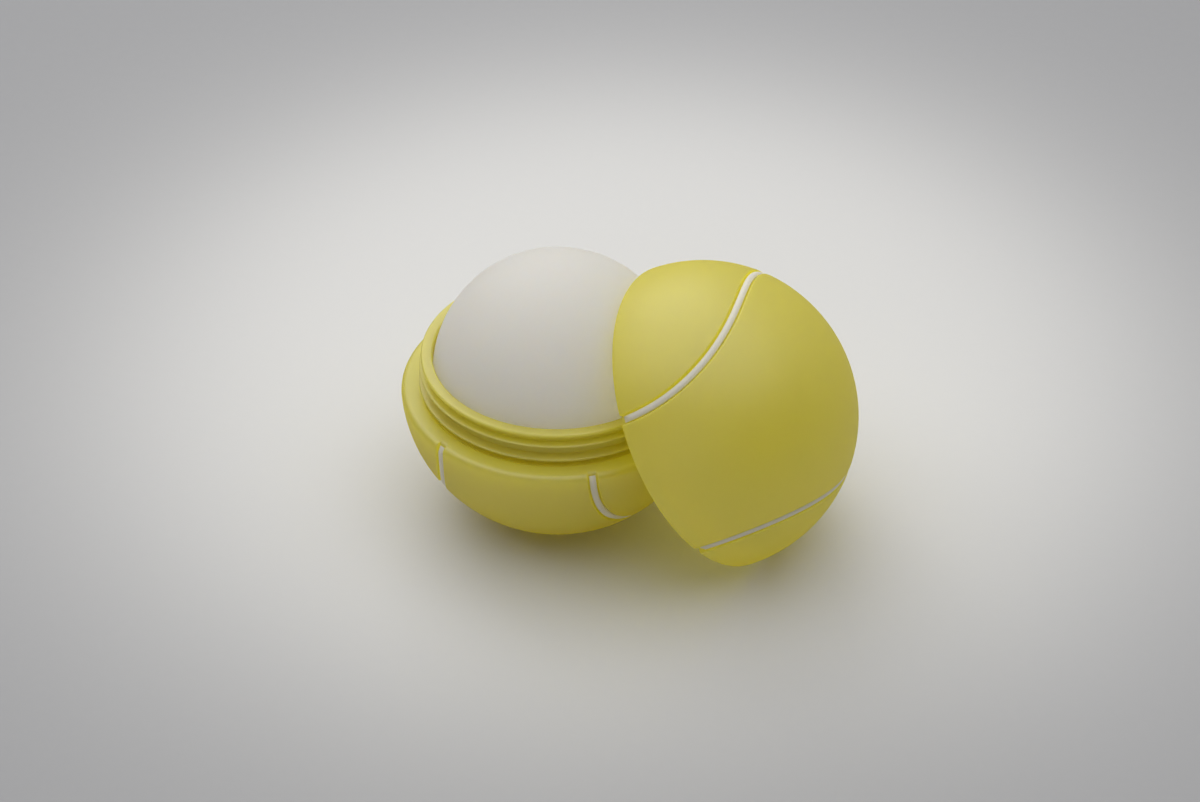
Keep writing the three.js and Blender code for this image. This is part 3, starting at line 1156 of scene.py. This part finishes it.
@dataclass
class Lid:
    """Upper half of the ball with its bored rim, seam strip and inner dome."""

    radius: float
    centre: np.ndarray
    axis: np.ndarray
    spin: float
    seam: SeamCurve
    groove: SeamGroove
    strip: SeamStrip
    bead: Bead = Bead(
        2.5 * MM, rise=0.25 * MM, land=0.1 * MM, upper_flank=0.35 * MM, lower_flank=0.35 * MM
    )
    rim_edge: float = 0.42 * MM
    rim_land: float = 0.9 * MM
    wall: float = 1.2 * MM
    bore: float = 18.75 * MM
    liner_gap: float = 0.15 * MM
    liner_wall: float = 0.7 * MM
    liner_edge_height: float = 5.2 * MM
    crown_steps: int = 14
    lead_steps: int = 3
    bore_steps: int = 46
    dome_steps: int = 20
    liner_sectors: int = 200
    liner_steps: int = 30
    liner_edge_steps: int = 10

    def build(self, finishes: Finishes) -> None:
        """Makes the shell, the seam strip and the liner.

        Args:
            finishes: The materials.
        """
        half = HalfBall(self.radius, cut=0.0, edge=self.rim_edge, seam=self.seam, groove=self.groove)
        crown = arc((0, 0), self.radius, half.crown_circle(), math.pi / 2, self.crown_steps)
        skin, rim = half.skin(crown)
        shell = Surface.joined(skin, rim_and_inside(rim, self.rim_edge, self._inside()))
        strip = self.strip.surface(half)
        add_piece(self._standing(shell), "lid_shell", finishes.shell, Body.LID)
        add_piece(self._standing(strip), "lid_seam", finishes.seam, Body.LID)
        add_piece(self._standing(self._liner()), "lid_liner", finishes.inner, Body.LID)

    def _standing(self, surface: Surface) -> Surface:
        """Spins a surface about its own axis, tips it to the lid's axis and moves it to its centre.

        Args:
            surface: The surface, dome up round the ball's middle.

        Returns:
            The surface where the lid leans.
        """
        sine, _, cosine = self.axis
        tip = np.array([[cosine, 0, sine], [0, 1, 0], [-sine, 0, cosine]])
        spin = np.array(Matrix.Rotation(self.spin, 3, "Z"))
        return surface.placed(tip @ spin, self.centre)

    def _inside(self) -> np.ndarray:
        """Profile of the rim's land, the lead-in, the beaded bore and the dome.

        Returns:
            Rows of radius and height from the rim's plane, ending on the axis.
        """
        hollow = self.radius - self.wall
        land = self.radius - self.rim_land
        bore_bottom = land - self.bore
        bore_top = math.sqrt(hollow**2 - self.bore**2)
        bore = straight((self.bore, bore_bottom), (self.bore, bore_top), self.bore_steps)
        bore[:, 0] -= self.bead.stands_out(bore[:, 1])
        return np.vstack([
            straight((land, 0), (self.bore, bore_bottom), self.lead_steps)[:-1],
            bore,
            arc((0, 0), hollow, math.acos(self.bore / hollow), math.pi / 2, self.dome_steps)[1:],
        ])

    def _liner(self) -> Surface:
        """Thin inner dome with a rounded edge, turned about the lid's axis.

        Returns:
            The liner, dome up round the ball's middle.
        """
        outer = self.radius - self.wall - self.liner_gap
        inner = outer - self.liner_wall
        edge = self.liner_wall / 2
        middle = (outer + inner) / 2
        start = math.asin((self.liner_edge_height + edge) / middle)
        seat = (middle * math.cos(start), middle * math.sin(start))
        profile = np.vstack([
            arc((0, 0), outer, math.pi / 2, start, self.liner_steps),
            arc(seat, edge, start, start - math.pi, self.liner_edge_steps)[1:-1],
            arc((0, 0), inner, start, math.pi / 2, self.liner_steps),
        ])
        return Surface.revolve(profile, self.liner_sectors)


@dataclass(frozen=True)
class Softbox:
    """Square area lamp that looks at the object."""

    name: str
    place: Vector3
    size: float
    power: float

    def hang(self, target: Vector) -> None:
        """Makes the lamp.

        Args:
            target: Point that the lamp looks at.
        """
        lamp = bpy.data.lights.new(self.name, "AREA")
        lamp.shape = "SQUARE"
        lamp.size = self.size
        lamp.energy = self.power
        holder = bpy.data.objects.new(self.name, lamp)
        holder.location = self.place
        holder.rotation_euler = (target - Vector(self.place)).to_track_quat("-Z", "Y").to_euler()
        bpy.context.scene.collection.objects.link(holder)


@dataclass
class Studio:
    """Floor, light and camera of the photograph.

    The camera's place is given in its own directions from the middle of the lower half's ball.
    """

    azimuth: float = math.radians(17.0)
    elevation: float = math.radians(38.05)
    distance: float = 428.6 * MM
    object_right: float = -5.667 * MM
    object_up: float = 3.117 * MM
    focal_length: float = 96.0
    sensor_width: float = 36.0
    clip_start: float = 10 * MM
    floor_reach: float = 6.0
    sky_axis: Vector3 = (-0.1, 0.02, 1.0)
    sky_squash: Vector3 = (0.5, 1.0, 1.0)
    sky_span: tuple[float, float] = (0.64, 0.96)
    back_span: tuple[float, float] = (0.0, 0.8)
    front_span: tuple[float, float] = (-0.7, -1.0)
    room_level: float = 0.01
    sky_level: float = 1.4
    back_level: float = 0.54
    front_level: float = 0.6
    key: Softbox = Softbox("window_softbox", place=(-0.3, 0.45, 0.45), size=0.5, power=1.15)
    target: Vector3 = (10 * MM, 0.0, 15 * MM)

    def build(self, ball_middle: Vector) -> None:
        """Sets up the floor, the light and the camera.

        Args:
            ball_middle: Middle of the lower half's ball.
        """
        self._floor()
        self._world()
        self.key.hang(Vector(self.target))
        self._camera(ball_middle)
        bpy.context.scene.view_settings.view_transform = "Standard"

    def _floor(self) -> None:
        """Lays the paper floor."""
        reach = self.floor_reach
        side = np.array([-reach, reach])
        x, y = np.meshgrid(side, side, indexing="ij")
        sheet = Surface.grid(np.stack([x, y, np.zeros_like(x)], axis=-1))
        mesh = bpy.data.meshes.new("floor")
        mesh.from_pydata(sheet.points, [], sheet.faces.tolist())
        mesh.materials.append(PaperWithPaintedLightPool().material())
        floor = bpy.data.objects.new("floor", mesh)
        bpy.context.scene.collection.objects.link(floor)

    def _world(self) -> None:
        """Fills the room with soft light: a wide bright cover overhead, a pale back and a faint front."""
        world = bpy.data.worlds.new("soft_room")
        world.use_nodes = True
        graph = Graph(world.node_tree)
        view = graph.node("ShaderNodeTexCoord").outputs["Generated"]
        squashed = graph.vectors("MULTIPLY", view, self.sky_squash).outputs[0]
        drawn = graph.vectors("NORMALIZE", squashed).outputs[0]
        rise = graph.vectors("DOT_PRODUCT", drawn, self.sky_axis).outputs["Value"]
        depth = graph.node("ShaderNodeSeparateXYZ", {}, {0: view}).outputs["Y"]
        overhead = graph.smooth(rise, *self.sky_span, self.room_level, self.sky_level)
        behind = graph.smooth(depth, *self.back_span, 0.0, self.back_level)
        front = graph.smooth(depth, *self.front_span, 0.0, self.front_level)
        feeds = {"Color": WHITE, "Strength": overhead + behind + front}
        light = graph.node("ShaderNodeBackground", {}, feeds).outputs[0]
        graph.node("ShaderNodeOutputWorld", {}, {"Surface": light})
        bpy.context.scene.world = world

    def _camera(self, ball_middle: Vector) -> None:
        """Puts the camera where the photograph was taken from.

        Args:
            ball_middle: Middle of the lower half's ball.
        """
        sine, cosine = math.sin(self.azimuth), math.cos(self.azimuth)
        level, drop = math.cos(self.elevation), math.sin(self.elevation)
        right = Vector((cosine, sine, 0))
        ahead = Vector((-sine * level, cosine * level, -drop))
        upward = right.cross(ahead)
        data = bpy.data.cameras.new("camera")
        data.sensor_fit = "HORIZONTAL"
        data.sensor_width = self.sensor_width
        data.lens = self.focal_length
        data.clip_start = self.clip_start
        camera = bpy.data.objects.new("camera", data)
        turn = Matrix((right, upward, -ahead)).transposed().to_4x4()
        seen_from = ball_middle - self.object_right * right - self.object_up * upward - self.distance * ahead
        camera.matrix_world = Matrix.Translation(seen_from) @ turn
        bpy.context.scene.collection.objects.link(camera)
        bpy.context.scene.camera = camera


def main() -> None:
    """Builds the object on its frame, then the studio round it."""
    logging.basicConfig(level=logging.INFO, format="%(name)s: %(message)s")
    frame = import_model()
    balm_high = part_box("balm")[1]
    lid_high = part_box("lid_shell")[1]
    parting_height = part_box("base_shell")[1].z
    lid_radius = lid_high.y
    lid_centre = np.array([lid_high.x - lid_radius, 0, lid_high.z - lid_radius])
    lid_axis = np.array(frame["joints"][0]["axis"])

    finishes = Finishes.mix()
    seam, groove, strip = SeamCurve(), SeamGroove(), SeamStrip()
    lower = LowerHalf(lid_radius + LID_STEP, parting_height, seam, groove, strip)
    lower.build(finishes)
    BeadedNeck(parting_height).build(finishes)
    Balm(balm_high.z, balm_high.x).build(finishes)
    Lid(lid_radius, lid_centre, lid_axis, LID_SPIN, seam, groove, strip).build(finishes)
    dress(frame["nodes"]["balm_anchor"], finishes.inner)
    Studio().build(Vector((0, 0, lower.middle_height)))


if __name__ == "__main__":
    main()
